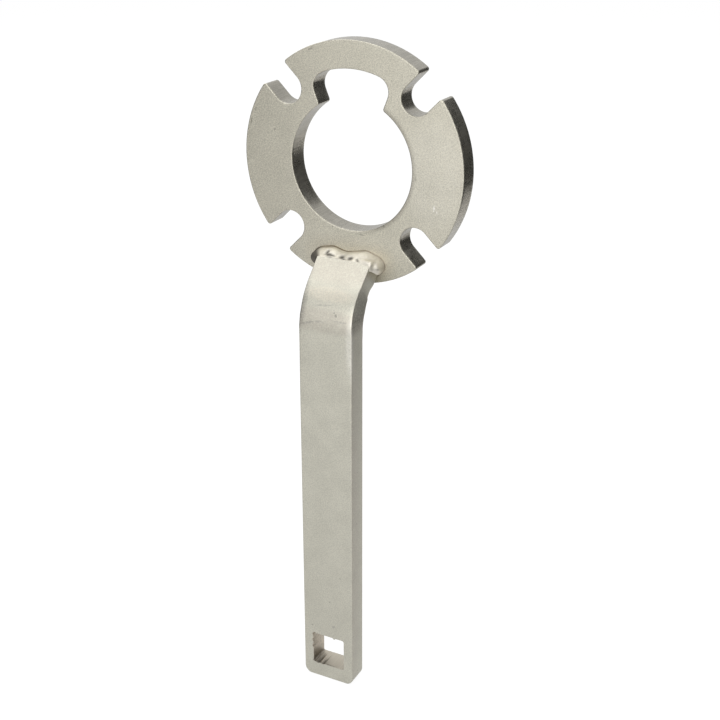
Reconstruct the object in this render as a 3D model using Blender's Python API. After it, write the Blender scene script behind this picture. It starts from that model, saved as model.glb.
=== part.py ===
"""Harmonic balancer holding tool: a slotted ring plate, a bent handle bar and the welds that join them.

Metres, +Z up along the handle. The ring is at the top, its front faces -Y, and the handle's free end
stands on z = 0. The origin is below the middle of the tool's width and depth.
"""

import math

import bmesh
import bpy
from mathutils import Matrix, Vector

MM = 0.001

# Ring plate
BORE_DIAMETER = 44.0 * MM
RING_WALL = 18.0 * MM  # bore to rim
RING_THICKNESS = 8.0 * MM
RING_EDGE = 0.3 * MM  # broken edge round both faces
SLOT_COUNT = 4
SLOT_WIDTH = 10.4 * MM
SLOT_LAND = 5.6 * MM  # metal between the bore and a slot's round bottom
SLOT_MOUTH_ROUND = 0.8 * MM
RELIEF_MOUTH = 23.0 * MM  # width where the relief opens into the bore
RELIEF_WIDTH = 26.9 * MM  # width at its widest
RELIEF_LAND = 9.0 * MM  # metal between the relief and the rim
RELIEF_CORNER = 5.0 * MM
RELIEF_CORNER_SHARE = 0.6  # most of the relief's depth that its corners may take

# Handle bar
BAR_WIDTH = 20.0 * MM
BAR_THICKNESS = 8.0 * MM
BAR_EDGE = 0.4 * MM  # rounded long edges of the drawn bar
BAR_END_CORNER = 3.0 * MM
HANDLE_REACH = 190.0 * MM  # bore centre to the bar's free end
BEND_ANGLE = math.radians(47.0)
BEND_INNER_RADIUS = 14.0 * MM
RAMP_LENGTH = 7.6 * MM  # straight stretch between the bend and the ring
SEAT_SETBACK = 3.7 * MM  # ring's lowest point to where the bar's end meets its face
DRIVE_SQUARE = 12.8 * MM  # takes a half-inch square drive
DRIVE_CORNER = 0.6 * MM
DRIVE_TO_END = 12.0 * MM

# Welds
SEAT_GAP = 0.3 * MM  # clearance between pieces that touch on the real tool
WELD_TOE = 2.1 * MM  # how far the front weld climbs the ring above the bar's top edge
WELD_CROWN = 0.5 * MM  # convexity of its face
WELD_LEFT_LEG = 4.4 * MM  # spread of the weld beyond the bar's sides
WELD_RIGHT_LEG = 3.0 * MM
WELD_SPREAD = (0.0, 0.3, 0.55, 0.75, 0.9, 0.985)  # shares of a leg at which its rounded end is drawn
REAR_LEG = 2.3 * MM
REAR_CROWN = 1.15  # rear weld's face against a flat one
REAR_TAPER = ((0.0, 0.45), (0.5, 0.9), (1.0, 1.0))  # shares of a leg in from each end, and of its full size
REAR_END_SETBACK = 2.5 * MM  # rear weld's ends to the bar's sides

# Facets
RIM_STEP = math.radians(4.0)
CORNER_STEP = math.radians(12.0)
BEND_STEPS = 12
END_CORNER_STEPS = 5
EDGE_SEGMENTS = 2
WELD_FACE_STEPS = 5
SMOOTH_ANGLE = math.radians(35.0)

# What follows from the sizes above
BORE_RADIUS = BORE_DIAMETER / 2
RING_RADIUS = BORE_RADIUS + RING_WALL
SLOT_CENTRE_RADIUS = BORE_RADIUS + SLOT_LAND + SLOT_WIDTH / 2
BEND_LENGTH = (BEND_INNER_RADIUS + BAR_THICKNESS / 2) * BEND_ANGLE
BEND_SETBACK = BEND_INNER_RADIUS * (1 - math.cos(BEND_ANGLE))
STANDOFF = SEAT_GAP + RAMP_LENGTH * math.sin(BEND_ANGLE) + BEND_SETBACK + BAR_THICKNESS
RING_FRONT_Y = (STANDOFF - RING_THICKNESS) / 2
BAR_FRONT_Y = RING_FRONT_Y - STANDOFF
BORE_Z = HANDLE_REACH
SEAT_Z = BORE_Z - RING_RADIUS + SEAT_SETBACK
BEND_RISE = BEND_INNER_RADIUS * math.sin(BEND_ANGLE) + RAMP_LENGTH * math.cos(BEND_ANGLE)
BEND_START_Z = SEAT_Z - BEND_RISE


def clear_scene():
    for obj in list(bpy.data.objects):
        bpy.data.objects.remove(obj, do_unlink=True)


def steel(name, colour, roughness):
    material = bpy.data.materials.new(name)
    material.use_nodes = True
    shader = material.node_tree.nodes["Principled BSDF"]
    shader.inputs["Base Color"].default_value = (*colour, 1.0)
    shader.inputs["Metallic"].default_value = 1.0
    shader.inputs["Roughness"].default_value = roughness
    return material


def place(name, mesh, material, location, parent):
    """Adds a mesh as a named object, smooth where its faces meet gently."""
    mesh.name = name
    mesh.materials.clear()
    mesh.materials.append(material)
    mesh.shade_smooth()
    mesh.set_sharp_from_angle(angle=SMOOTH_ANGLE)
    obj = bpy.data.objects.new(name, mesh)
    obj.location = location
    obj.parent = parent
    bpy.context.scene.collection.objects.link(obj)
    return obj


def arc(centre, radius, start, end, step):
    """Points from one angle to another, both included, about a centre."""
    count = max(2, math.ceil(abs(end - start) / step))
    angles = [start + (end - start) * i / count for i in range(count + 1)]
    return [Vector((centre[0] + radius * math.cos(a), centre[1] + radius * math.sin(a))) for a in angles]


def rim_outline():
    """The rim, anticlockwise, with a round-bottomed slot halfway between the four quarters."""
    half = SLOT_WIDTH / 2
    round_across = half + SLOT_MOUTH_ROUND
    round_angle = math.asin(round_across / (RING_RADIUS - SLOT_MOUTH_ROUND))
    round_along = math.sqrt((RING_RADIUS - SLOT_MOUTH_ROUND) ** 2 - round_across**2)
    quarter = math.radians(90)
    turn = math.radians(360) / SLOT_COUNT
    slot = arc((round_along, -round_across), SLOT_MOUTH_ROUND, -round_angle, quarter, CORNER_STEP * 2)
    slot += arc((SLOT_CENTRE_RADIUS, 0), half, -quarter, -3 * quarter, CORNER_STEP)
    slot += arc((round_along, round_across), SLOT_MOUTH_ROUND, -quarter, round_angle, CORNER_STEP * 2)
    points = []
    for index in range(SLOT_COUNT):
        middle = turn * (index + 0.5)
        points += arc((0, 0), RING_RADIUS, middle - turn + round_angle, middle - round_angle, RIM_STEP)[1:-1]
        points += [Matrix.Rotation(middle, 2) @ point for point in slot]
    return points


def bore_outline():
    """The bore, clockwise, with the wider relief above it whose walls lean outwards to rounded corners."""
    relief_radius = RING_RADIUS - RELIEF_LAND
    corner = min(RELIEF_CORNER, RELIEF_CORNER_SHARE * (relief_radius - BORE_RADIUS))
    mouth = Vector((RELIEF_MOUTH / 2, math.sqrt(BORE_RADIUS**2 - (RELIEF_MOUTH / 2) ** 2)))
    across = RELIEF_WIDTH / 2 - corner
    centre = Vector((across, math.sqrt((relief_radius - corner) ** 2 - across**2)))
    to_centre = centre - mouth
    lean = math.atan2(to_centre.y, to_centre.x) - math.asin(corner / to_centre.length)
    top = math.atan2(centre.y, centre.x)
    straight_up = math.radians(90)
    mouth_angle = math.atan2(mouth.y, mouth.x)
    right = arc(centre, corner, lean - straight_up, top, CORNER_STEP)
    points = right + arc((0, 0), relief_radius, top, math.pi - top, RIM_STEP)[1:-1]
    points += [Vector((-point.x, point.y)) for point in reversed(right)]
    points += arc((0, 0), BORE_RADIUS, math.pi - mouth_angle, 2 * math.pi + mouth_angle, RIM_STEP)
    return list(reversed(points))


def plate_mesh(outlines, thickness, edge):
    """A flat plate standing in XZ, from a filled curve with chamfered edges, centred on its thickness."""
    curve = bpy.data.curves.new("plate_outline", "CURVE")
    curve.dimensions = "2D"
    curve.fill_mode = "BOTH"
    curve.extrude = thickness / 2 - edge
    curve.bevel_depth = edge
    curve.bevel_resolution = 0
    curve.offset = -edge
    for outline in outlines:
        spline = curve.splines.new("POLY")
        spline.points.add(len(outline) - 1)
        for point, corner in zip(spline.points, outline):
            point.co = (corner.x, corner.y, 0, 1)
        spline.use_cyclic_u = True
    guide = bpy.data.objects.new("plate_guide", curve)
    bpy.context.scene.collection.objects.link(guide)
    solid = bpy.data.meshes.new_from_object(guide.evaluated_get(bpy.context.evaluated_depsgraph_get()))
    bpy.data.objects.remove(guide)
    solid.transform(Matrix.Rotation(math.radians(90), 4, "X"))
    return welded(solid)


def welded(mesh):
    """Joins the doubled points of a converted curve and turns every face outwards."""
    work = bmesh.new()
    work.from_mesh(mesh)
    bmesh.ops.remove_doubles(work, verts=work.verts, dist=0.002 * MM)
    bmesh.ops.recalc_face_normals(work, faces=work.faces)
    work.to_mesh(mesh)
    work.free()
    return mesh


def loft_mesh(sections):
    """A closed body through sections of equal point counts, with a flat cap at each end."""
    work = bmesh.new()
    rings = [[work.verts.new(point) for point in section] for section in sections]
    count = len(rings[0])
    for lower, upper in zip(rings, rings[1:]):
        for i in range(count):
            j = (i + 1) % count
            work.faces.new((lower[i], lower[j], upper[j], upper[i]))
    work.faces.new(list(reversed(rings[0])))
    work.faces.new(rings[-1])
    bmesh.ops.recalc_face_normals(work, faces=work.faces)
    return work


def finished(work, name):
    mesh = bpy.data.meshes.new(name)
    work.to_mesh(mesh)
    work.free()
    return mesh


def make_ring(parent):
    """The ring plate, placed by the middle of its bore."""
    mesh = plate_mesh([rim_outline(), bore_outline()], RING_THICKNESS, RING_EDGE)
    material = steel("ring_steel", (0.52, 0.49, 0.41), 0.42)
    middle = RING_FRONT_Y + RING_THICKNESS / 2
    return place("holding_ring", mesh, material, (0, middle, BORE_Z), parent)


def bent(point):
    """Takes a point of the flat bar (across, behind its front, above the bend's start) round the bend."""
    across, depth, along = point
    outer = BEND_INNER_RADIUS + BAR_THICKNESS
    angle = min(max(along / BEND_LENGTH, 0), 1) * BEND_ANGLE
    ramp = max(along - BEND_LENGTH, 0)
    back = outer - (outer - depth) * math.cos(angle) + ramp * math.sin(angle)
    up = (outer - depth) * math.sin(angle) + ramp * math.cos(angle) + min(along, 0)
    return Vector((across, back, up))


def flat_bar():
    """The bar before bending: rounded lower corners, rounded edges and a square-cut top end."""
    free_end = -BEND_START_Z
    stations = []
    for i in range(END_CORNER_STEPS + 1):
        angle = math.radians(90) * i / END_CORNER_STEPS
        inset = BAR_END_CORNER * (1 - math.sin(angle))
        stations.append((free_end + BAR_END_CORNER * (1 - math.cos(angle)), BAR_WIDTH / 2 - inset))
    stations += [(BEND_LENGTH * i / BEND_STEPS, BAR_WIDTH / 2) for i in range(BEND_STEPS + 1)]
    stations.append((BEND_LENGTH + RAMP_LENGTH, BAR_WIDTH / 2))
    thick = BAR_THICKNESS
    work = loft_mesh([((-w, 0, s), (w, 0, s), (w, thick, s), (-w, thick, s)) for s, w in stations])
    faces = (0.0, thick)
    tiny = 0.001 * MM
    rounded = []
    for edge in work.edges:
        a, b = (vert.co for vert in edge.verts)
        on_face = any(abs(a.y - y) < tiny and abs(b.y - y) < tiny for y in faces)
        if on_face and not (abs(a.z - b.z) < tiny and a.z > free_end + tiny):
            rounded.append(edge)
    bmesh.ops.bevel(
        work,
        geom=rounded,
        offset=BAR_EDGE,
        segments=EDGE_SEGMENTS,
        profile=0.5,
        affect="EDGES",
        clamp_overlap=True,
    )
    return work


def make_drive_cutter():
    """A square prism through the bar's free end, with slightly rounded corners."""
    half = DRIVE_SQUARE / 2 - DRIVE_CORNER
    quarter = math.radians(90)
    outline = []
    for index, (x, z) in enumerate(((half, half), (-half, half), (-half, -half), (half, -half))):
        outline += arc((x, z), DRIVE_CORNER, quarter * index, quarter * (index + 1), quarter / 2)
    work = loft_mesh([[(p.x, y, p.y) for p in outline] for y in (-BAR_THICKNESS, BAR_THICKNESS)])
    cutter = bpy.data.objects.new("drive_square_cutter", finished(work, "drive_square_cutter"))
    cutter.location = (0, BAR_FRONT_Y + BAR_THICKNESS / 2, DRIVE_TO_END)
    cutter.hide_render = True
    cutter.display_type = "WIRE"
    bpy.context.scene.collection.objects.link(cutter)
    return cutter


def make_handle(parent):
    """The handle bar, bent back to the ring, placed by the start of its bend on its front face."""
    work = flat_bar()
    for vert in work.verts:
        vert.co = bent(vert.co)
    mesh = finished(work, "handle_bar")
    material = steel("bar_steel", (0.54, 0.51, 0.43), 0.42)
    bar = place("handle_bar", mesh, material, (0, BAR_FRONT_Y, BEND_START_Z), parent)
    cut = bar.modifiers.new("drive_square", "BOOLEAN")
    cut.operation = "DIFFERENCE"
    cut.solver = "EXACT"
    cut.object = make_drive_cutter()
    return bar


def groove_section(across):
    """The front weld in the groove: up the bar's end, over the crown and down to the toe on the ring."""
    run = Vector((math.cos(BEND_ANGLE), math.sin(BEND_ANGLE)))
    away = Vector((-math.sin(BEND_ANGLE), math.cos(BEND_ANGLE))) * SEAT_GAP
    seat = Vector((SEAT_GAP, 0)) + away
    root = seat + run * ((SEAT_GAP - seat.x) / run.x)
    crest = Vector((SEAT_GAP, 0)) + run * BAR_THICKNESS + away
    toe = Vector((SEAT_GAP, BAR_THICKNESS * math.sin(BEND_ANGLE) + WELD_TOE))
    crown = Vector((crest.y - toe.y, toe.x - crest.x)).normalized() * -WELD_CROWN
    shares = [i / WELD_FACE_STEPS for i in range(WELD_FACE_STEPS + 1)]
    line = [root.lerp(crest, t) for t in shares]
    line += [crest.lerp(toe, t) + crown * math.sin(math.pi * t) for t in shares[1:]]
    return [(across, -height, rise) for height, rise in line]


def lump_section(across, share):
    """The weld where it wraps the bar's side: half an ellipse standing on the ring."""
    steps = 2 * WELD_FACE_STEPS
    height = BAR_THICKNESS * math.cos(BEND_ANGLE) * share
    toe = BAR_THICKNESS * math.sin(BEND_ANGLE) + WELD_TOE / 2
    half_rise = toe / 2 * share
    angles = [math.radians(180) * (i / steps - 0.5) for i in range(steps + 1)]
    return [
        (across, -SEAT_GAP - height * math.cos(a), toe / 2 + half_rise * math.sin(a)) for a in angles
    ]


def make_front_weld(parent):
    """Weld metal in the V above the bar's end, running round both of the bar's sides, placed by the seat."""
    side = BAR_WIDTH / 2
    sections = []
    for t in reversed(WELD_SPREAD):
        sections.append(lump_section(-side - SEAT_GAP - WELD_LEFT_LEG * t, math.sqrt(1 - t * t)))
    sections += [groove_section(-side), groove_section(side)]
    for t in WELD_SPREAD:
        sections.append(lump_section(side + SEAT_GAP + WELD_RIGHT_LEG * t, math.sqrt(1 - t * t)))
    mesh = finished(loft_mesh(sections), "front_weld")
    material = steel("front_weld_steel", (0.60, 0.57, 0.50), 0.36)
    return place("front_weld", mesh, material, (0, RING_FRONT_Y, SEAT_Z), parent)


def rear_section(across, share):
    """The rear weld's corner section, between the bar's underside and the ring's face below the seat."""
    ring_way = Vector((0, -1))
    bar_way = Vector((math.sin(BEND_ANGLE), -math.cos(BEND_ANGLE)))
    corner_shift = SEAT_GAP * (1 + math.cos(BEND_ANGLE)) / math.sin(BEND_ANGLE)
    corner = Vector((SEAT_GAP, -corner_shift))
    leg = REAR_LEG * share
    middle = (ring_way + bar_way) * leg / 2
    line = [corner, corner + ring_way * leg, corner + middle * REAR_CROWN, corner + bar_way * leg]
    return [(across, -height, rise) for height, rise in line]


def make_rear_weld(parent):
    """A short fillet bead under the bar, hidden behind it, placed by the seat."""
    half = BAR_WIDTH / 2 - REAR_END_SETBACK
    sections = [rear_section(-half + REAR_LEG * t, share) for t, share in REAR_TAPER]
    sections += [rear_section(half - REAR_LEG * t, share) for t, share in reversed(REAR_TAPER)]
    mesh = finished(loft_mesh(sections), "rear_weld")
    material = steel("rear_weld_steel", (0.50, 0.46, 0.39), 0.42)
    return place("rear_weld", mesh, material, (0, RING_FRONT_Y, SEAT_Z), parent)


def main():
    clear_scene()
    tool = bpy.data.objects.new("holding_tool", None)
    bpy.context.scene.collection.objects.link(tool)
    make_ring(tool)
    make_handle(tool)
    make_front_weld(tool)
    make_rear_weld(tool)


main()
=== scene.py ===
import math

import bmesh
import bpy
from bpy.props import FloatProperty, FloatVectorProperty, IntProperty, PointerProperty
from mathutils import Matrix, Vector, geometry, noise


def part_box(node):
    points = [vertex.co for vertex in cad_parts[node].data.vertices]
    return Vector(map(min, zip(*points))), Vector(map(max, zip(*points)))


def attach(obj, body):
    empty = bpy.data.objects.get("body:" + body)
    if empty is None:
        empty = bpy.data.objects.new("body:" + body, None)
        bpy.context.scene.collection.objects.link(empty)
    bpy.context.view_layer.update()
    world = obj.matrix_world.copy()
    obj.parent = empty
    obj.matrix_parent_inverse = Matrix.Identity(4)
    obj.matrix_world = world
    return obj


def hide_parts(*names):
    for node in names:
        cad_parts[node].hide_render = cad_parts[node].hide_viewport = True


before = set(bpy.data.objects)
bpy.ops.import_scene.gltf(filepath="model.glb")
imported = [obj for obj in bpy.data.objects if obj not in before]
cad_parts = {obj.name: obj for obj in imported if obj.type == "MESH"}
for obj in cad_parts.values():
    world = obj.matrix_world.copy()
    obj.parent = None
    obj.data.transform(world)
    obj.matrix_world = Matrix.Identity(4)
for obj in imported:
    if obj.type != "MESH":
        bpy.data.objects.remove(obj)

bl_info = {
    "name": "Balancer Holding Tool",
    "version": (1, 0, 0),
    "blender": (4, 5, 0),
    "location": "3D View > Sidebar > Holding Tool",
    "description": "Dresses the packed holding tool: ring plate, handle bar, welds and a white stage",
    "category": "Object",
}

MM = 0.001
QUARTER = math.radians(90)
# Edges of plate and bar that turn by more stay sharp
EDGE_DEGREES = 40

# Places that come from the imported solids
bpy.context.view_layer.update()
RING_LOW, RING_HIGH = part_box("holding_ring")
BAR_LOW, BAR_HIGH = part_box("handle_bar")
REAR_LOW, REAR_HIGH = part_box("rear_weld")
RING_RADIUS = (RING_HIGH.x - RING_LOW.x) / 2
RING_THICKNESS = RING_HIGH.y - RING_LOW.y
BORE_Z = (RING_LOW.z + RING_HIGH.z) / 2


# Settings


def length_property(name, description, millimetres):
    return FloatProperty(name=name, description=description, unit="LENGTH", default=millimetres * MM)


def angle_property(name, description, degrees):
    return FloatProperty(name=name, description=description, subtype="ANGLE", default=math.radians(degrees))


def number_property(name, description, default):
    return FloatProperty(name=name, description=description, default=default)


def colour_property(name, description, default):
    return FloatVectorProperty(name=name, description=description, subtype="COLOR", default=default)


class FinishSettings(bpy.types.PropertyGroup):
    """Colours and grain of the plated steel."""

    face_colour: colour_property("Face colour", "Blasted, plated faces of the ring", (0.562, 0.538, 0.455))
    bar_colour: colour_property("Bar colour", "Blasted, plated faces of the bar", (0.639, 0.622, 0.538))
    cut_colour: colour_property("Cut wall colour", "Cut walls of bore, slots and rim", (0.5, 0.478, 0.418))
    hole_colour: colour_property("Hole colour", "Broached walls of the drive square", (0.505, 0.467, 0.395))
    weld_colour: colour_property("Weld colour", "Plated weld metal", (0.88, 0.84, 0.745))
    rust_colour: colour_property("Rust colour", "Brown stain at the weld's edges", (0.17, 0.118, 0.05))
    grain: length_property("Grain", "Size of the blasted dimples", 0.4)


class RingSettings(bpy.types.PropertyGroup):
    """Sizes of the ring plate."""

    bore_diameter: length_property("Bore", "Diameter of the bore", 44.0)
    slot_width: length_property("Slot width", "Width of the four bolt slots", 10.4)
    slot_land: length_property("Slot land", "Metal between bore and slot", 5.6)
    slot_mouth_round: length_property("Slot mouth", "Rounding of the slots' mouths", 0.8)
    relief_mouth: length_property("Relief mouth", "Width of the relief at the bore", 23.0)
    relief_width: length_property("Relief width", "Widest part of the relief", 26.9)
    relief_land: length_property("Relief land", "Metal between relief and rim", 9.0)
    relief_corner: length_property("Relief corner", "Corner radius of the relief", 5.0)
    edge_round: length_property("Edge", "Tumbled rounding of the plate's edges", 0.25)
    turn: angle_property("Turn", "Welding error of the ring about its bore", 0.25)
    outline_pitch: length_property("Outline pitch", "Spacing of the outline's points", 0.35)
    stria_depth: length_property("Cut depth", "Depth of the cutting marks on the walls", 0.05)
    stria_pitch: length_property("Cut pitch", "Spacing of the cutting marks", 0.7)


class BarSettings(bpy.types.PropertyGroup):
    """Sizes of the handle bar."""

    thickness: length_property("Thickness", "Thickness of the bar", 8.0)
    edge_round: length_property("Edge", "Rounding of the bar's long edges", 0.3)
    end_corner: length_property("End corner", "Corner radius of the free end", 3.0)
    bend_angle: angle_property("Bend", "Angle of the bend to the ring", 47)
    bend_inner_radius: length_property("Bend radius", "Inside radius of the bend", 14.0)
    ramp_length: length_property("Ramp", "Straight stretch above the bend", 7.6)
    bend_drift: number_property("Bend drift", "How much the press pulled the bend's edges aside", 1.0)
    drive_square: length_property("Drive square", "Side of the square hole", 12.6)
    drive_corner: length_property("Drive corner", "Corner radius of the square hole", 0.7)
    drive_height: length_property("Drive height", "Free end to the hole's middle", 12.0)
    broach_pitch: length_property("Broach pitch", "Spacing of the marks in the hole", 2.5)
    broach_depth: length_property("Broach depth", "Depth of the marks in the hole", 0.5)


class WeldSettings(bpy.types.PropertyGroup):
    """Sizes of the weld metal."""

    ripple_pitch: length_property("Ripple pitch", "Spacing of the ripples", 1.3)
    ripple_height: length_property("Ripple height", "Height of the front weld's ripples", 0.02)
    rear_ripple_height: length_property("Rear ripple height", "Height of the rear weld's ripples", 0.09)
    rear_unevenness: length_property("Rear unevenness", "Lumps in the rear weld's skin", 0.1)
    seed: IntProperty(name="Seed", description="Picks the weld's unevenness", default=4)


class StageSettings(bpy.types.PropertyGroup):
    """Camera, lamps and floor."""

    camera_place: FloatVectorProperty(
        name="Camera",
        description="Place of the camera",
        subtype="TRANSLATION",
        default=(0.18805, -0.34841, 0.29012),
    )
    camera_azimuth: angle_property("Azimuth", "Camera's turn to the right of the front", 27.567)
    camera_elevation: angle_property("Elevation", "Camera's downward tilt", 22.842)
    lens: number_property("Lens", "Focal length in millimetres", 62.793)
    lamp_power: number_property("Overhead lamp", "Power of the overhead softbox in watts", 9.9)
    front_power: number_property("Front lamp", "Power of the front softbox in watts", 2.7)
    right_power: number_property("Right lamp", "Power of the right softbox in watts", 2.4)
    ambient: number_property("Ambient", "Brightness of the surroundings", 0.68)
    floor_colour: colour_property("Floor", "Colour of the floor", (0.95, 0.95, 0.95))


# Node helpers


def add_node(tree, kind, inputs=None, **settings):
    """Adds a node with its settings, and gives its inputs, by name or number, a socket or a value."""
    node = tree.nodes.new(kind)
    for name, value in settings.items():
        setattr(node, name, value)
    for name, value in (inputs or {}).items():
        if isinstance(value, bpy.types.NodeSocket):
            tree.links.new(value, node.inputs[name])
        else:
            node.inputs[name].default_value = value
    return node


def maths(tree, operation, *values):
    """A Math node of one or two numbers or sockets."""
    return add_node(tree, "ShaderNodeMath", dict(enumerate(values)), operation=operation).outputs[0]


def product(tree, first, *others):
    """Numbers or sockets multiplied together."""
    for other in others:
        first = maths(tree, "MULTIPLY", first, other)
    return first


def vectors(tree, operation, *values):
    """A Vector Math node, which gives a number for a length or a distance."""
    node = add_node(tree, "ShaderNodeVectorMath", dict(enumerate(values)), operation=operation)
    return node.outputs["Value" if operation in ("LENGTH", "DISTANCE") else "Vector"]


def scaled(tree, vector, factor):
    """A vector or a colour, as a socket or three numbers, times a factor."""
    inputs = {0: vector, "Scale": factor}
    return add_node(tree, "ShaderNodeVectorMath", inputs, operation="SCALE").outputs[0]


def ranged(tree, value, low, high, to_low, to_high):
    """Maps a socket from one range to another, smoothly and without overshoot."""
    inputs = {0: value, 1: low, 2: high, 3: to_low, 4: to_high}
    return add_node(tree, "ShaderNodeMapRange", inputs, interpolation_type="SMOOTHSTEP").outputs[0]


def spread(tree, pattern, to_low, to_high):
    """Maps the range that most of a noise pattern lies in to another."""
    return ranged(tree, pattern, 0.3, 0.7, to_low, to_high)


def mixed(tree, share, first, second):
    """Mixes two colours, each a socket or three numbers, by a share."""
    first, second = [c if isinstance(c, bpy.types.NodeSocket) else (*c, 1.0) for c in (first, second)]
    return add_node(tree, "ShaderNodeMix", {0: share, 6: first, 7: second}, data_type="RGBA").outputs[2]


def mapped(tree, place, **inputs):
    """Coordinates in a frame of their own, given by Location, Rotation and Scale."""
    inputs["Vector"] = place
    return add_node(tree, "ShaderNodeMapping", inputs, vector_type="TEXTURE").outputs[0]


def noise_value(tree, vector, scale, detail=2.0, roughness=0.55):
    inputs = {"Vector": vector, "Scale": scale, "Detail": detail, "Roughness": roughness}
    return add_node(tree, "ShaderNodeTexNoise", inputs).outputs[0]


def seeded_noise(tree, vector, scale, seed):
    inputs = {"Vector": vector, "W": seed, "Scale": scale, "Detail": 2.0}
    return add_node(tree, "ShaderNodeTexNoise", inputs, noise_dimensions="4D").outputs[0]


# Finishes

# Tones of the marks
BRIGHT = (0.95, 0.93, 0.88)
WARM = (0.95, 0.85, 0.71)
GREY = (0.3, 0.29, 0.27)
DUN = (0.395, 0.342, 0.298)
BROWN = (0.46, 0.34, 0.2)
SPECK = (0.17, 0.16, 0.13)
DARK = (0.1, 0.09, 0.075)
SOOT_AND_SHADE = (0.05, 0.045, 0.04)
# Marks, painted shade and painted highlights on the front faces, on the bar's sides and in the hole, in
# millimetres: across, level from the bore, half width, half height, depth behind the front face, then lean
# in degrees, share and tone
RING_MARKS_AND_PAINTED_LIGHT = (
    # Painted light: a broad, faint lighter patch over the ring's right side
    (29.0, 0.0, 14.0, 22.0, 4.0, 0, 0.1, BRIGHT),
    (30.0, -10.6, 0.36, 1.4, 3.0, 6, 0.7, BRIGHT),
    (31.0, -11.8, 0.28, 0.7, 3.0, -10, 0.45, BRIGHT),
    (-14.3, 36.3, 1.4, 0.45, 3.0, -25, 0.4, DARK),
    (-7.4, 39.35, 1.3, 0.4, 3.0, -10, 0.45, DARK),
    (-37.4, 11.0, 0.4, 1.4, 3.0, 10, 0.45, DARK),
    (-35.6, 15.1, 0.5, 1.0, 3.0, 20, 0.35, DARK),
    (-28.4, 8.9, 0.4, 0.7, 3.0, 30, 0.4, DARK),
    (23.4, -1.7, 0.4, 0.9, 3.0, 0, 0.4, DARK),
    (11.8, -18.65, 1.2, 0.5, 3.0, 40, 0.45, DARK),
    (3.85, -22.9, 1.2, 0.4, 3.0, 10, 0.4, DARK),
)
BAR_MARKS_AND_PAINTED_LIGHT = (
    (0.0, -33.0, 22.0, 5.6, 30.0, 0, 0.34, DUN),
    (0.0, -39.8, 12.0, 2.8, 20.0, 0, 0.27, WARM),
    (0.0, -48.2, 22.0, 5.2, 20.0, 0, 0.36, DUN),
    # Painted shade: the bar's right side darker along its whole length
    (10.6, -120.0, 1.0, 150.0, 14.0, 0, 0.58, DUN),
    # Painted shade: a darker band down the left edge of the ramp and bend
    (-10.8, -41.0, 3.6, 16.0, 18.0, 0, 0.5, GREY),
    (10.2, -44.0, 0.6, 9.0, 26.0, 0, 0.4, DARK),
    (10.2, -47.3, 0.6, 0.4, 8.0, 0, 0.5, DARK),
    (10.2, -49.0, 0.6, 0.35, 7.0, 0, 0.45, DARK),
    # Painted highlight: a bright strip along the right front edge, from the bend down
    (10.0, -55.0, 3.0, 15.0, 1.6, 0, 0.32, BRIGHT),
    (-1.65, -43.2, 4.6, 0.4, 8.0, -7, 0.35, GREY),
    (-6.5, -49.5, 3.4, 0.5, 8.0, -18, 0.5, GREY),
    (-2.4, -48.6, 2.0, 0.5, 8.0, 0, 0.4, GREY),
    (5.5, -47.6, 3.0, 0.45, 8.0, -2, 0.45, GREY),
    (3.65, -45.75, 0.6, 0.6, 8.0, 0, 0.9, DARK),
    (2.95, -45.05, 0.4, 0.4, 8.0, 0, 0.6, DARK),
    (2.2, -166.7, 0.9, 0.7, 8.0, -40, 0.35, GREY),
    (-6.64, -168.4, 0.5, 0.5, 8.0, 0, 0.35, DARK),
    (0.8, -156.5, 0.6, 0.5, 8.0, 0, 0.3, DARK),
)
HOLE_MARKS_AND_PAINTED_LIGHT = (
    # Painted light over the left wall
    (-6.5, -175.0, 1.2, 14.0, 30.0, 0, 0.55, WARM),
    # Painted shadow in the lower left corner of the wall and floor
    (-6.6, -183.6, 2.2, 5.4, 9.0, 0, 0.46, DARK),
    # Painted light and shade in stripes across the grooves on the floor's left
    (-5.5, -184.6, 0.3, 1.0, 8.0, 0, 0.4, WARM),
    (-4.7, -184.6, 0.6, 1.0, 8.5, 0, 0.55, DARK),
    (-3.6, -184.6, 0.45, 1.0, 7.0, 0, 0.4, WARM),
    (-2.6, -184.6, 0.6, 1.0, 4.0, 0, 0.5, DARK),
    # Painted shadow along the floor's front edge
    (-1.5, -184.5, 6.5, 1.0, 0.9, 0, 0.45, DARK),
)
# The halo's rounded box round the front weld: its middle, and its half width and half height
HALO_MIDDLE = (-0.7 * MM, 0.0, BORE_Z - 32.2 * MM)
HALO_HALF = (10.4 * MM, 1.0, 0.4 * MM)
# The rust that creeps out behind the bar's right edge, where it leaves the ring
RUST_MIDDLE = (10.2 * MM, RING_LOW.y - 0.7 * MM, BORE_Z - 36.7 * MM)
RUST_RADII = (1.0 * MM, 0.45 * MM, 1.6 * MM)
RUST_TURN = (math.radians(-36), 0.0, 0.0)


def new_material(name):
    material = bpy.data.materials.new(name)
    material.use_nodes = True
    return material, material.node_tree


def new_steel(name):
    """A metal with its object coordinates, ready for its pattern."""
    material, tree = new_material(name)
    shader = tree.nodes["Principled BSDF"]
    shader.inputs["Metallic"].default_value = 1.0
    place = add_node(tree, "ShaderNodeTexCoord").outputs["Object"]
    return material, tree, shader, place


def dress(tree, shader, colour, roughness, height, strength, distance):
    """Gives a metal its colour, its roughness and the bump of its pattern."""
    bump = add_node(tree, "ShaderNodeBump", {"Height": height, "Strength": strength, "Distance": distance})
    for name, socket in (("Base Color", colour), ("Roughness", roughness), ("Normal", bump.outputs[0])):
        tree.links.new(socket, shader.inputs[name])


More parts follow.
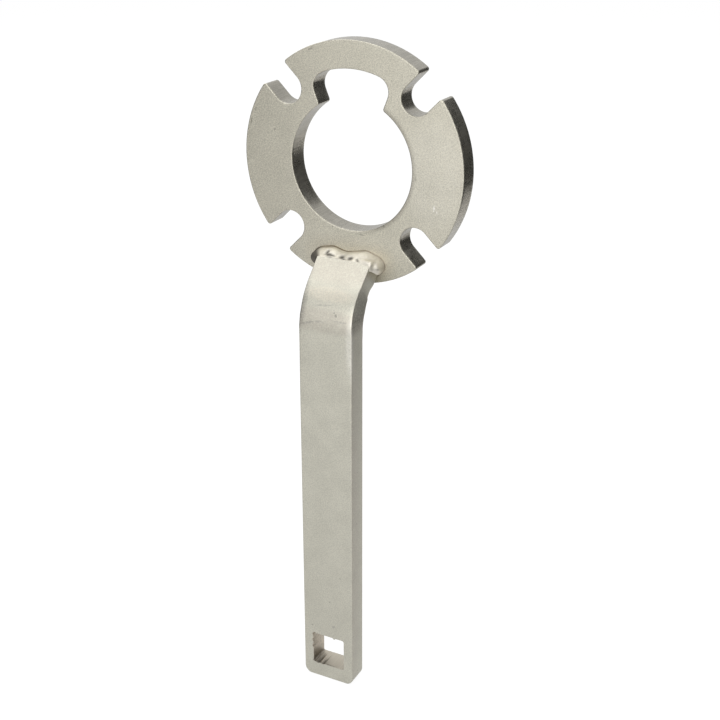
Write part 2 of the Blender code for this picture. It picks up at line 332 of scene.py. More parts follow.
def speck_share(tree, place, scale, radius, keep):
    """One in some cells holds a small dark speck."""
    cells = add_node(tree, "ShaderNodeTexVoronoi", {"Scale": scale, "Vector": place})
    spot = ranged(tree, cells.outputs["Distance"], radius * 0.4, radius, 1.0, 0.0)
    chosen = add_node(tree, "ShaderNodeSeparateColor", {0: cells.outputs["Color"]}).outputs[0]
    return product(tree, spot, maths(tree, "GREATER_THAN", chosen, 1.0 - keep))


def axis_distance(tree, place):
    """Distance from the bore's axis."""
    return vectors(tree, "DISTANCE", vectors(tree, "MULTIPLY", place, (1.0, 0.0, 1.0)), (0.0, 0.0, BORE_Z))


def painted_edge_shade_share(tree, place, bore):
    """Soft painted shade along the right of the bore's edge, where its rolled edge turns from the light."""
    edge = ranged(tree, axis_distance(tree, place), bore, bore + 2.0 * MM, 0.42, 0.0)
    across = add_node(tree, "ShaderNodeSeparateXYZ", {0: place}).outputs["X"]
    return product(tree, edge, ranged(tree, across, 2.0 * MM, 12.0 * MM, 0.0, 1.0))


def halo_share(tree, place):
    """Soft brown halo on the ring round the front weld, whose outline is taken as a rounded box."""
    away = vectors(tree, "ABSOLUTE", vectors(tree, "SUBTRACT", place, HALO_MIDDLE))
    outside = vectors(tree, "MAXIMUM", vectors(tree, "SUBTRACT", away, HALO_HALF), (0.0, 0.0, 0.0))
    wander = product(tree, noise_value(tree, place, scale=420.0), 1.2 * MM)
    edge = maths(tree, "SUBTRACT", vectors(tree, "LENGTH", outside), wander)
    return ranged(tree, edge, 2.2 * MM, 8.0 * MM, 0.12, 0.0)


def spot_share(tree, place, centre, radii, turn):
    """A soft-edged spot of given radii, turned about its own centre."""
    local = mapped(tree, place, Location=centre, Rotation=turn, Scale=radii)
    return ranged(tree, vectors(tree, "LENGTH", local), 0.5, 1.0, 1.0, 0.0)


def with_marks_and_painted_light(tree, place, colour, marks, front):
    """A colour with its marks and its painted light and shade, for a piece whose front face is at a given
    y.
    """
    ragged = ranged(tree, noise_value(tree, place, scale=1500.0), 0.35, 0.55, 0.4, 1.0)
    for x, level, half_width, half_height, depth, lean, share, tone in marks:
        centre = (x * MM, front, BORE_Z + level * MM)
        radii = (half_width * MM, depth * MM, half_height * MM)
        spot = spot_share(tree, place, centre, radii, (0.0, math.radians(lean), 0.0))
        colour = mixed(tree, product(tree, spot, ragged, share), colour, tone)
    return colour


def blasted_steel(name, colour, finish, marks, front, contrast, bore=None):
    """Bead-blasted, plated face: fine dimples, soft mottling, a few dark specks, its own marks with painted
    shade and highlights, and on the ring painted shade at the bore's edge.
    """
    material, tree, shader, place = new_steel(name)
    grain = noise_value(tree, place, 1.0 / finish.grain, roughness=0.65)
    mottle = noise_value(tree, place, scale=130.0, detail=5.0)
    dimples = spread(tree, grain, 1.0 - contrast, 1.0 + contrast)
    colour = scaled(tree, colour, product(tree, dimples, spread(tree, mottle, 0.96, 1.03)))
    specks = speck_share(tree, place, scale=190.0, radius=0.06, keep=0.3)
    colour = mixed(tree, product(tree, specks, 0.6), colour, SPECK)
    if bore:
        # Painted shade along the right of the bore's edge
        colour = mixed(tree, painted_edge_shade_share(tree, place, bore), colour, DARK)
        halo = product(tree, halo_share(tree, place), ranged(tree, mottle, 0.35, 0.6, 0.6, 1.0))
        colour = mixed(tree, halo, colour, BROWN)
    colour = with_marks_and_painted_light(tree, place, colour, marks, front)
    rust = spot_share(tree, place, RUST_MIDDLE, RUST_RADII, RUST_TURN)
    colour = mixed(tree, product(tree, rust, 0.9), colour, finish.rust_colour)
    dress(tree, shader, colour, spread(tree, grain, 0.40, 0.52), grain, strength=0.2, distance=0.09 * MM)
    return material


def cut_steel(name, colour, contrast, roughness, marks=(), front=0.0):
    """Smoother cut wall with fine lines drawn out through the thickness, and its own marks with painted
    light and shade.
    """
    material, tree, shader, place = new_steel(name)
    drawn = mapped(tree, place, Scale=(1.0, 20.0, 1.0))
    lines = noise_value(tree, drawn, scale=2600.0, detail=3.0, roughness=0.6)
    mottle = noise_value(tree, place, scale=260.0, detail=4.0)
    radius = axis_distance(tree, place)
    inner = ranged(tree, radius, RING_RADIUS - 2.5 * MM, RING_RADIUS - 0.8 * MM, 0.92, 1.0)
    streaks = spread(tree, lines, 0.98 - contrast, 0.98 + contrast)
    colour = scaled(tree, colour, product(tree, streaks, spread(tree, mottle, 0.97, 1.02), inner))
    colour = with_marks_and_painted_light(tree, place, colour, marks, front)
    polish = spread(tree, mottle, roughness - 0.02, roughness + 0.03)
    dress(tree, shader, colour, polish, lines, strength=0.16, distance=0.05 * MM)
    return material


def weld_steel(name, finish):
    """Plated weld metal, bright on its crown, brown at its edges, and dark in its pits and over its left
    end with soot and painted shade.
    """
    material, tree, shader, place = new_steel(name)
    mottle = noise_value(tree, place, scale=520.0, detail=4.0)
    plain = scaled(tree, finish.weld_colour, spread(tree, mottle, 0.9, 1.06))
    stain = add_node(tree, "ShaderNodeAttribute", attribute_name="stain").outputs["Fac"]
    soot = add_node(tree, "ShaderNodeAttribute", attribute_name="soot").outputs["Fac"]
    colour = mixed(tree, soot, mixed(tree, stain, plain, finish.rust_colour), SOOT_AND_SHADE)
    roughness = ranged(tree, maths(tree, "MAXIMUM", stain, soot), 0.0, 1.0, 0.55, 0.75)
    dress(tree, shader, colour, roughness, mottle, strength=0.15, distance=0.1 * MM)
    return material


# Mesh helpers


def smooth_step(value):
    value = min(max(value, 0.0), 1.0)
    return value * value * (3.0 - 2.0 * value)


def along_curve(points, x):
    """Height of a soft curve through control points, each (place, height)."""
    if x <= points[0][0]:
        return points[0][1]
    for (x0, y0), (x1, y1) in zip(points, points[1:]):
        if x <= x1:
            return y0 + (y1 - y0) * smooth_step((x - x0) / (x1 - x0))
    return points[-1][1]


def through_rows(rows, share):
    """Numbers of a smooth curve through rows of numbers, at a share of the way."""
    place = share * (len(rows) - 1)
    index = min(int(place), len(rows) - 2)
    t = place - index
    near = [rows[min(max(index + k, 0), len(rows) - 1)] for k in (-1, 0, 1, 2)]
    return [
        b + 0.5 * t * (c - a + t * (2 * a - 5 * b + 4 * c - d + t * (3 * b - a - 3 * c + d)))
        for a, b, c, d in zip(*near)
    ]


def arc(centre, radius, start, end, pitch):
    """Points from one angle to another about a centre, both ends included."""
    count = max(2, math.ceil(radius * abs(end - start) / pitch))
    angles = [start + (end - start) * i / count for i in range(count + 1)]
    return [Vector((centre[0] + radius * math.cos(a), centre[1] + radius * math.sin(a))) for a in angles]


def densified(points, pitch):
    """A closed outline with no stretch longer than about the pitch."""
    dense = []
    for here, there in zip(points, points[1:] + points[:1]):
        length = (there - here).length
        if length < 0.05 * pitch:
            continue
        steps = max(1, round(length / pitch))
        dense += [here.lerp(there, k / steps) for k in range(steps)]
    return dense


def eased(points, limit, passes=40):
    """Wears down the sharp corners of a closed outline until none turns by more than the limit."""
    count = len(points)
    for _ in range(passes):
        moved = list(points)
        for i in range(count):
            before, here, after = points[i - 1], points[i], points[(i + 1) % count]
            if (here - before).angle(after - here, 0.0) > limit:
                for k in (i - 1, i, (i + 1) % count):
                    moved[k] = points[k] * 0.5 + (points[k - 1] + points[(k + 1) % count]) * 0.25
        points = moved
    return points


def outward(points):
    """Unit normals of a closed outline, to the right of its direction."""
    count = len(points)
    normals = []
    for i in range(count):
        along = points[(i + 1) % count] - points[i - 1]
        normals.append(Vector((along.y, -along.x)).normalized())
    return normals


def bridged(work, rows):
    """Quads between closed rows of equal point counts."""
    count = len(rows[0])
    for first, second in zip(rows, rows[1:]):
        for i in range(count):
            j = (i + 1) % count
            work.faces.new((first[i], first[j], second[j], second[i]))


def closed_mesh(work, name, materials, sharp_degrees):
    """Turns a bmesh into a mesh with outward faces, and stops if it isn't closed."""
    bmesh.ops.recalc_face_normals(work, faces=work.faces)
    open_edges = sum(1 for edge in work.edges if not edge.is_manifold)
    if open_edges:
        raise RuntimeError(f"{name} has {open_edges} open edges")
    mesh = bpy.data.meshes.new(name)
    work.to_mesh(mesh)
    work.free()
    for material in materials:
        mesh.materials.append(material)
    mesh.shade_smooth()
    mesh.set_sharp_from_angle(angle=math.radians(sharp_degrees))
    return mesh


def lofted_mesh(work, rows, name, steel, sharp_degrees):
    """A closed mesh through rows of vertices, with a flat cap on the first and the last."""
    bridged(work, rows)
    work.faces.new(list(reversed(rows[0])))
    work.faces.new(rows[-1])
    return closed_mesh(work, name, (steel,), sharp_degrees)


def scratch_object(name, mesh):
    obj = bpy.data.objects.new(name, mesh)
    bpy.context.scene.collection.objects.link(obj)
    return obj


def baked_mesh(obj, name):
    """The object's mesh with its modifiers applied; the object goes."""
    bpy.context.view_layer.update()
    depsgraph = bpy.context.evaluated_depsgraph_get()
    mesh = bpy.data.meshes.new_from_object(
        obj.evaluated_get(depsgraph), preserve_all_data_layers=True, depsgraph=depsgraph
    )
    mesh.name = name
    bpy.data.objects.remove(obj)
    return mesh


def seat_piece(name, mesh, node):
    """Puts a finished mesh in the scene in place of its CAD node."""
    piece = scratch_object(name, mesh)
    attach(piece, "root")
    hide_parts(node)
    return piece


# Geometry node trees


def node_group(name, sizes):
    """An empty geometry tree with a number input for each named size, and one for the material."""
    tree = bpy.data.node_groups.new(name, "GeometryNodeTree")
    add_socket = tree.interface.new_socket
    add_socket("Geometry", in_out="INPUT", socket_type="NodeSocketGeometry")
    for label, default in sizes.items():
        add_socket(label, in_out="INPUT", socket_type="NodeSocketFloat").default_value = default
    add_socket("Material", in_out="INPUT", socket_type="NodeSocketMaterial")
    add_socket("Geometry", in_out="OUTPUT", socket_type="NodeSocketGeometry")
    start = tree.nodes.new("NodeGroupInput")
    end = tree.nodes.new("NodeGroupOutput")
    return tree, start.outputs, end


def use_tree(obj, tree, values):
    """Adds the tree as a modifier, with its inputs set by identifier."""
    modifier = obj.modifiers.new(tree.name, "NODES")
    modifier.node_group = tree
    for item in tree.interface.items_tree:
        if item.item_type == "SOCKET" and item.in_out == "INPUT" and item.name in values:
            modifier[item.identifier] = values[item.name]


def finish_tree(tree, shape, end, material, selection=True):
    """Ends a tree in Realize Instances and Set Material."""
    real = add_node(tree, "GeometryNodeRealizeInstances", {0: shape})
    inputs = {"Geometry": real.outputs[0], "Material": material, "Selection": selection}
    paint = add_node(tree, "GeometryNodeSetMaterial", inputs)
    tree.links.new(paint.outputs[0], end.inputs[0])


def named_value(tree, name):
    node = add_node(tree, "GeometryNodeInputNamedAttribute", {"Name": name}, data_type="FLOAT")
    return node.outputs["Attribute"]


def pushed_out(tree, shape, distance):
    """Moves every point along its normal."""
    offset = scaled(tree, add_node(tree, "GeometryNodeInputNormal").outputs[0], distance)
    return add_node(tree, "GeometryNodeSetPosition", {"Geometry": shape, "Offset": offset}).outputs[0]


def cutting_marks_tree():
    """Fine marks across the plate's cut walls, drawn out through its thickness."""
    sizes = {"Depth": 0.05 * MM, "Pitch": 0.7 * MM, "Draw": 14.0, "Seed": 3.0}
    tree, give, end = node_group("cutting_marks", sizes)
    across = maths(tree, "DIVIDE", 1.0, give["Pitch"])
    through = maths(tree, "DIVIDE", across, give["Draw"])
    scale = add_node(tree, "ShaderNodeCombineXYZ", {0: across, 1: through, 2: across}).outputs[0]
    place = add_node(tree, "GeometryNodeInputPosition").outputs[0]
    marks = seeded_noise(tree, vectors(tree, "MULTIPLY", place, scale), 1.0, give["Seed"])
    wall = named_value(tree, "cut_wall")
    height = product(tree, maths(tree, "SUBTRACT", marks, 0.5), give["Depth"], wall)
    on_wall = maths(tree, "GREATER_THAN", wall, 0.95)
    finish_tree(tree, pushed_out(tree, give["Geometry"], height), end, give["Material"], on_wall)
    return tree


def weld_ripple_tree():
    """Ripples that follow the bead's travel, with the uneven skin of frozen metal."""
    sizes = {
        "Pitch": 1.3 * MM,
        "Height": 0.05 * MM,
        "Unevenness": 0.08 * MM,
        "Lump size": 2.4 * MM,
        "Swirl": 1.1,
        "Seed": 4.0,
    }
    tree, give, end = node_group("weld_ripples", sizes)
    place = add_node(tree, "GeometryNodeInputPosition").outputs[0]
    lumps = seeded_noise(tree, place, maths(tree, "DIVIDE", 1.0, give["Lump size"]), give["Seed"])
    turns = maths(tree, "DIVIDE", named_value(tree, "travel"), give["Pitch"])
    phase = maths(tree, "ADD", turns, product(tree, lumps, give["Swirl"]))
    ripple = product(tree, maths(tree, "SINE", product(tree, phase, 2 * math.pi)), give["Height"])
    uneven = product(tree, maths(tree, "SUBTRACT", lumps, 0.5), give["Unevenness"])
    height = product(tree, maths(tree, "ADD", ripple, uneven), named_value(tree, "bead"))
    finish_tree(tree, pushed_out(tree, give["Geometry"], height), end, give["Material"])
    return tree


# Ring plate

# Sharpest turn between two stretches of the ring's outline
TURN_LIMIT = math.radians(24)
SLOT_COUNT = 4


def rim_outline(ring):
    """The rim, anticlockwise, with its four round-bottomed slots."""
    pitch = ring.outline_pitch
    half = ring.slot_width / 2
    small = ring.slot_mouth_round
    across = half + small
    reach = RING_RADIUS - small
    lead = math.asin(across / reach)
    along = math.sqrt(reach**2 - across**2)
    bottom = ring.bore_diameter / 2 + ring.slot_land + half
    slot = arc((along, -across), small, -lead, QUARTER, pitch)
    slot += arc((bottom, 0), half, -QUARTER, -3 * QUARTER, pitch)
    slot += arc((along, across), small, -QUARTER, lead, pitch)
    points = []
    for index in range(SLOT_COUNT):
        middle = QUARTER * (index + 0.5)
        points += arc((0, 0), RING_RADIUS, middle - QUARTER + lead, middle - lead, pitch)[1:-1]
        turn_c, turn_s = math.cos(middle), math.sin(middle)
        points += [Vector((p.x * turn_c - p.y * turn_s, p.x * turn_s + p.y * turn_c)) for p in slot]
    return points


def bore_outline(ring):
    """The bore, clockwise, with the relief above it."""
    pitch = ring.outline_pitch
    bore = ring.bore_diameter / 2
    relief = RING_RADIUS - ring.relief_land
    corner = ring.relief_corner
    mouth = Vector((ring.relief_mouth / 2, math.sqrt(bore**2 - (ring.relief_mouth / 2) ** 2)))
    across = ring.relief_width / 2 - corner
    centre = Vector((across, math.sqrt((relief - corner) ** 2 - across**2)))
    to_centre = centre - mouth
    lean = math.atan2(to_centre.y, to_centre.x) - math.asin(corner / to_centre.length)
    top = math.atan2(centre.y, centre.x)
    start = math.atan2(mouth.y, mouth.x)
    right = arc(centre, corner, lean - QUARTER, top, pitch)
    points = right + arc((0, 0), relief, top, math.pi - top, pitch)[1:-1]
    points += [Vector((-p.x, p.y)) for p in reversed(right)]
    points += arc((0, 0), bore, math.pi - start, 2 * math.pi + start, pitch)
    return list(reversed(points))


def edge_profile(radius, thickness, round_steps=4, wall_steps=6, lead=0.15 * MM):
    """Rows from the front over the edge, down the wall and round to the rear: (inset, depth, wall)."""
    rows = [(radius + lead, 0.0, 0.0)]
    for k in range(round_steps + 1):
        angle = QUARTER * k / round_steps
        wall = 1.0 if k == round_steps else 0.3 * k / round_steps
        rows.append((radius * (1 - math.sin(angle)), radius * (1 - math.cos(angle)), wall))
    rear = [(inset, thickness - depth, wall) for inset, depth, wall in reversed(rows)]
    rows += [(0.0, radius + (thickness - 2 * radius) * k / wall_steps, 1.0) for k in range(1, wall_steps)]
    return rows + rear


def ring_mesh(ring, face_steel, wall_steel):
    """The ring plate, with rounded edges and dense cut walls."""
    profile = edge_profile(ring.edge_round, RING_THICKNESS)
    turn = Matrix.Rotation(ring.turn, 2)
    work = bmesh.new()
    cut_wall = work.verts.layers.float.new("cut_wall")
    caps = ([], [])
    for outline in (rim_outline(ring), bore_outline(ring)):
        loop = [turn @ point for point in eased(densified(outline, ring.outline_pitch), TURN_LIMIT)]
        normals = outward(loop)
        rows = []
        for inset, depth, wall in profile:
            row = []
            for point, normal in zip(loop, normals):
                x, z = point - normal * inset
                vert = work.verts.new((x, RING_LOW.y + depth, BORE_Z + z))
                vert[cut_wall] = wall
                row.append(vert)
            rows.append(row)
        bridged(work, rows)
        caps[0].append(rows[0])
        caps[1].append(rows[-1])
    for cap in caps:
        flat = [vert for row in cap for vert in row]
        for triangle in geometry.tessellate_polygon([[vert.co.copy() for vert in row] for row in cap]):
            work.faces.new([flat[i] for i in triangle])
    return closed_mesh(work, "ring_blank", (face_steel, wall_steel), EDGE_DEGREES)


class HOLDINGTOOL_OT_ring_plate(bpy.types.Operator):
    """Makes the slotted ring plate with its cutting marks"""

    bl_idname = "holding_tool.ring_plate"
    bl_label = "Ring Plate"

    def execute(self, context):
        ring = context.scene.holding_tool_ring
        finish = context.scene.holding_tool_finish
        face_steel = blasted_steel(
            "blasted_ring_face",
            finish.face_colour,
            finish,
            RING_MARKS_AND_PAINTED_LIGHT,
            RING_LOW.y,
            contrast=0.21,
            bore=ring.bore_diameter / 2,
        )
        wall_steel = cut_steel("cut_ring_wall", finish.cut_colour, contrast=0.12, roughness=0.27)
        blank = scratch_object("ring_blank", ring_mesh(ring, face_steel, wall_steel))
        values = {"Depth": ring.stria_depth, "Pitch": ring.stria_pitch, "Material": wall_steel}
        use_tree(blank, cutting_marks_tree(), values)
        seat_piece("ring_plate", baked_mesh(blank, "ring_plate"), "holding_ring")
        return {"FINISHED"}


# Handle bar

# How far the bend's edges lie beside a straight bar's, in millimetres: place along it, shift to the right
DRIFT_FRONT_LEFT = ((0, 0.0), (3, 0.15), (6, 0.33), (9, 0.36), (12, 0.42), (15, 0.4), (22, 0.3))
DRIFT_FRONT_RIGHT = (
    (0, -0.05), (3, -0.2), (6, -0.26), (8, -0.24), (11.5, 0.0), (14, 0.3), (18, 0.3), (22, 0.2)
)
# The same on the bend's inside, as a swelling to both sides
DRIFT_REAR = (
    (-4, -0.1), (0, 0.0), (5, 0.12), (7.5, 0.2), (12.5, 0.05),
    (14, -0.3), (16, -0.42), (19.5, 0.1), (22, 0.1),
)
# Spacing of the bar's stations on its straight and on its bend, and steps round its free end's corners
STRAIGHT_PITCH = 1.0 * MM
BEND_PITCH = 0.5 * MM
END_STEPS = 12
# Most that the front's edges fall back round the bend
CROWN = 0.16 * MM
# How far the cutter of the hole reaches past the bar's faces, and its steps from end to end
CUTTER_REACH = 1.0 * MM
CUTTER_STEPS = 26
# The burr at the top of the hole: place to the right, half width, height and how deep it reaches
BURR_PLACE = 2.3 * MM
BURR_HALF_WIDTH = 0.42 * MM
BURR_HEIGHT = 0.55 * MM
BURR_REACH = 1.3 * MM


class BarShape:
    """Turns points of the flat bar into points of the bent one."""

    def __init__(self, bar):
        self.thickness = bar.thickness
        self.outer = bar.bend_inner_radius + bar.thickness
        self.angle = bar.bend_angle
        self.bend_length = (bar.bend_inner_radius + bar.thickness / 2) * bar.bend_angle
        self.top = self.bend_length + bar.ramp_length
        rise = bar.bend_inner_radius * math.sin(self.angle) + bar.ramp_length * math.cos(self.angle)
        seat = BAR_HIGH.z - bar.thickness * math.sin(self.angle)
        self.start_z = seat - rise
        self.half = (BAR_HIGH.x - BAR_LOW.x) / 2
        self.drift = bar.bend_drift * MM

    def sideways(self, across, depth, along):
        """Pull of the press on the bend: its outside narrows and its inside swells, not quite evenly."""
        left = along_curve(DRIFT_FRONT_LEFT, along / MM)
        right = along_curve(DRIFT_FRONT_RIGHT, along / MM)
        rear = along_curve(DRIFT_REAR, along / MM)
        to_right = 0.5 + 0.5 * across / self.half
        inside = depth / self.thickness
        front = left * (1.0 - to_right) + right * to_right
        return self.drift * (front * (1.0 - inside) + rear * (2 * to_right - 1) * inside)

    def bent(self, across, depth, along):
        """Where a point of the flat bar goes, given across, below its front and along from the bend."""
        turned = min(max(along / self.bend_length, 0.0), 1.0) * self.angle
        ramp = max(along - self.bend_length, 0.0)
        back = self.outer - (self.outer - depth) * math.cos(turned) + ramp * math.sin(turned)
        up = (self.outer - depth) * math.sin(turned) + ramp * math.cos(turned) + min(along, 0.0)
        x = across + self.sideways(across, depth, along)
        return Vector((x, BAR_LOW.y + back, self.start_z + up))


def bar_section(half, inset, thickness, radius, face_steps=40, side_steps=10, round_steps=4):
    """A rounded rectangle as (across, depth), from the front's left edge round to it again."""
    near, far = inset, thickness - inset
    radius = min(radius, (far - near) / 2.2)
    flat = half - radius
    side = (near + radius, far - radius)
    front = [(-flat + 2 * flat * i / face_steps, near) for i in range(face_steps)]
    right = [(half, side[0] + (side[1] - side[0]) * i / side_steps) for i in range(1, side_steps)]
    rear = [(flat - 2 * flat * i / face_steps, far) for i in range(1, face_steps)]
    left = [(-half, side[1] + (side[0] - side[1]) * i / side_steps) for i in range(1, side_steps)]
    corners = ((flat, side[0]), (flat, side[1]), (-flat, side[1]), (-flat, side[0]))
    points = front
    for index, ((x, y), straight) in enumerate(zip(corners, (right, rear, left, []))):
        angles = [QUARTER * (index - 1) + QUARTER * k / round_steps for k in range(round_steps + 1)]
        points += [(x + radius * math.cos(a), y + radius * math.sin(a)) for a in angles]
        points += straight
    return points[:-1]


def bar_stations(bar, shape):
    """Places along the flat bar, each with its half width and the inset of its rounded end."""
    end = BAR_LOW.z - shape.start_z
    corner, radius = bar.end_corner, bar.edge_round
    stations = []
    for i in range(END_STEPS + 1):
        angle = QUARTER * i / END_STEPS
        rise = corner * (1 - math.cos(angle))
        inset = radius - math.sqrt(max(radius**2 - (radius - rise) ** 2, 0.0)) if rise < radius else 0.0
        stations.append((end + rise, shape.half - corner * (1 - math.sin(angle)), inset))
    straight = -(end + corner)
    steps = round(straight / STRAIGHT_PITCH)
    stations += [(end + corner + straight * i / steps, shape.half, 0.0) for i in range(1, steps)]
    steps = round(shape.top / BEND_PITCH)
    stations += [(shape.top * i / steps, shape.half, 0.0) for i in range(steps + 1)]
    return stations


def unevenness(across, depth, along):
    """The slight waviness of drawn bar after blasting."""
    place = Vector((across, depth, along))
    broad = noise.noise(place * 90.0)
    fine = noise.noise(place * 420.0 + Vector((7.0, 3.0, 1.0)))
    return 0.03 * MM * broad + 0.012 * MM * fine


def crowning(shape, across, along):
    """How far the front's edges fall back round the bend."""
    near = 1.0 - smooth_step((abs(along - 0.3 * shape.bend_length) - 6 * MM) / (24 * MM))
    return CROWN * near * (abs(across) / shape.half) ** 6


def flat_bar_mesh(bar, shape, steel):
    """The bar with its slight waviness, bent, before its hole is cut."""
    work = bmesh.new()
    rows = []
    for along, half, inset in bar_stations(bar, shape):
        row = []
        for across, depth in bar_section(half, inset, shape.thickness, bar.edge_round):
            shift = unevenness(across, depth, along)
            depth += crowning(shape, across, along) * (1.0 - depth / shape.thickness)
            if abs(across) > half - 0.01 * MM:
                across -= math.copysign(abs(shift), across)
            else:
                depth += abs(shift) if depth < shape.thickness / 2 else -abs(shift)
            row.append(work.verts.new(shape.bent(across, depth, along)))
        rows.append(row)
    return lofted_mesh(work, rows, "bar_blank", steel, EDGE_DEGREES)


def near_wall(place, side):
    """Share by which a point belongs to the hole's wall on its negative side."""
    return smooth_step((-place / side - 0.8) / 0.15)


def scallops(bar, shape, point, depth):
    """Bites and fine ridges that the broach left on the hole's left wall, deepest at the front."""
    front = 1.0 - smooth_step(depth / (0.7 * shape.thickness))
    bite = abs(math.sin(math.pi * (point.y + 0.7 * MM) / bar.broach_pitch))
    upper = smooth_step((point.y + 1.2 * MM) / MM)
    uneven = 0.75 + 0.25 * math.sin(2.4 * point.y / MM)
    bite *= upper * uneven
    ridge = 0.12 * math.sin(2 * math.pi * point.y / (0.3 * bar.broach_pitch))
    return bar.broach_depth * near_wall(point.x, bar.drive_square / 2) * front * (bite + ridge)


def grooves(bar, shape, point, depth):
    """Grooves along the depth on the left of the hole's floor, fading to the rear."""
    groove = 0.5 - 0.5 * math.cos(2 * math.pi * (point.x + 5.5 * MM) / (0.78 * bar.broach_pitch))
    on_left = smooth_step((-0.9 * MM - point.x) / (0.8 * MM))
    fade = 1.0 - 0.8 * smooth_step(depth / shape.thickness)
    return 0.6 * bar.broach_depth * near_wall(point.y, bar.drive_square / 2) * on_left * groove * fade


def burr(bar, point, depth):
    """The burr that narrows the hole at the top of its front edge."""
    if point.y <= 0.95 * bar.drive_square / 2:
        return 0.0
    hump = math.exp(-(((point.x - BURR_PLACE) / BURR_HALF_WIDTH) ** 2))
    return BURR_HEIGHT * hump * smooth_step((BURR_REACH - depth) / (0.9 * MM))


def drive_cutter_mesh(bar, shape, steel):
    """The square hole's tool shape: scalloped left wall, grooved floor, and a burr left at the top."""
    corner = bar.drive_corner
    inner = bar.drive_square / 2 - corner
    outline = []
    for index, (x, z) in enumerate(((inner, inner), (-inner, inner), (-inner, -inner), (inner, -inner))):
        outline += arc((x, z), corner, QUARTER * index, QUARTER * (index + 1), 0.12 * MM)
    outline = densified(outline, 0.2 * MM)
    normals = outward(outline)
    first, last = -CUTTER_REACH, shape.thickness + CUTTER_REACH
    work = bmesh.new()
    rows = []
    for k in range(CUTTER_STEPS + 1):
        depth = first + (last - first) * k / CUTTER_STEPS
        row = []
        for point, normal in zip(outline, normals):
            grow = scallops(bar, shape, point, depth) + grooves(bar, shape, point, depth)
            grow += 0.02 * MM * noise.noise(Vector((point.x, depth * 0.3, point.y)) * 900.0)
            grow -= burr(bar, point, depth)
            x, z = point + normal * grow
            row.append(work.verts.new((x, BAR_LOW.y + depth, BAR_LOW.z + bar.drive_height + z)))
        rows.append(row)
    return lofted_mesh(work, rows, "drive_cutter", steel, EDGE_DEGREES)


class HOLDINGTOOL_OT_handle_bar(bpy.types.Operator):
    """Makes the bent handle bar with its square drive hole"""

    bl_idname = "holding_tool.handle_bar"
    bl_label = "Handle Bar"

    def execute(self, context):
        bar = context.scene.holding_tool_bar
        finish = context.scene.holding_tool_finish
        shape = BarShape(bar)
        steel = blasted_steel("blasted_bar", finish.bar_colour, finish, BAR_MARKS_AND_PAINTED_LIGHT, BAR_LOW.y, contrast=0.13)
        broached = cut_steel(
            "broached_hole",
            finish.hole_colour,
            contrast=0.05,
            roughness=0.5,
            marks=HOLE_MARKS_AND_PAINTED_LIGHT,
            front=BAR_LOW.y,
        )
        blank = scratch_object("bar_blank", flat_bar_mesh(bar, shape, steel))
        cutter = scratch_object("drive_cutter", drive_cutter_mesh(bar, shape, broached))
        cut = blank.modifiers.new("drive_square", "BOOLEAN")
        cut.operation = "DIFFERENCE"
        cut.solver = "EXACT"
        cut.material_mode = "TRANSFER"
        cut.object = cutter
        mesh = baked_mesh(blank, "handle_bar_dressed")
        bpy.data.objects.remove(cutter)
        mesh.set_sharp_from_angle(angle=math.radians(EDGE_DEGREES))
        seat_piece("handle_bar_dressed", mesh, "handle_bar")
        return {"FINISHED"}


# Welds

# Sections of the front weld from its left end over the top to its right end, in millimetres: its toe on
# the ring (across, level from the bore), its toe on the bar (across, depth below the bar's front, way from
# the bar's end), the width of the thin skirt on the ring, and the bulge of its face as a share of a quarter
# ellipse
WELD_SECTIONS = (
    (-10.5, -36.1, -10.0, 7.5, -0.2, 0.25, 0.3),
    (-12.6, -35.9, -10.0, 5.6, 0.5, 0.3, 0.6),
    (-14.2, -34.8, -10.0, 3.4, 0.8, 0.35, 0.7),
    (-14.7, -33.0, -10.0, 1.6, 0.6, 0.35, 0.7),
    (-14.0, -31.1, -10.0, 0.5, 0.3, 0.35, 0.6),
    (-12.4, -29.6, -9.7, 0.0, 0.05, 0.35, 0.4),
    (-10.6, -28.8, -8.8, 0.0, 0.0, 0.3, 0.25),
    (-8.5, -28.4, -7.4, 0.0, 0.0, 0.25, 0.2),
    (-6.1, -28.1, -5.8, 0.0, 0.0, 0.25, 0.2),
    (-3.2, -28.9, -3.2, 0.0, 0.0, 0.25, 0.2),
    (-1.0, -29.2, -1.0, 0.0, 0.0, 0.25, 0.2),
    (3.5, -28.4, 3.4, 0.0, 0.1, 0.25, 0.15),
    (6.2, -28.0, 5.9, 0.0, 0.4, 0.3, 0.1),
    (8.4, -28.6, 7.9, 0.0, 0.55, 0.3, 0.1),
    (10.2, -29.2, 9.4, 0.0, 0.65, 0.3, 0.1),
    (11.8, -30.2, 10.0, 0.1, 0.9, 0.3, 0.15),
    (12.8, -31.6, 10.0, 1.2, 1.8, 0.3, 0.25),
    (13.05, -32.7, 10.0, 2.8, 2.2, 0.3, 0.45),
    (12.6, -34.0, 10.0, 4.6, 1.7, 0.3, 0.6),
    (11.7, -35.2, 10.0, 6.3, 0.8, 0.3, 0.6),
    (10.5, -36.0, 10.0, 7.4, -0.1, 0.25, 0.4),
)
# Steps from one section to the next
SECTIONS_BETWEEN = 9
# The drop that the weld ends in, and the hollow between it and the crown, in millimetres: across, height
# off the ring, level, radius and how far it stands out
DROPS = ((11.2, 3.3, -33.0, 1.6, 0.8), (10.9, 4.4, -30.9, 0.9, -0.15))
# Which way the drop stands out
DROP_WAY = Vector((0.6, -0.55, 0.58))
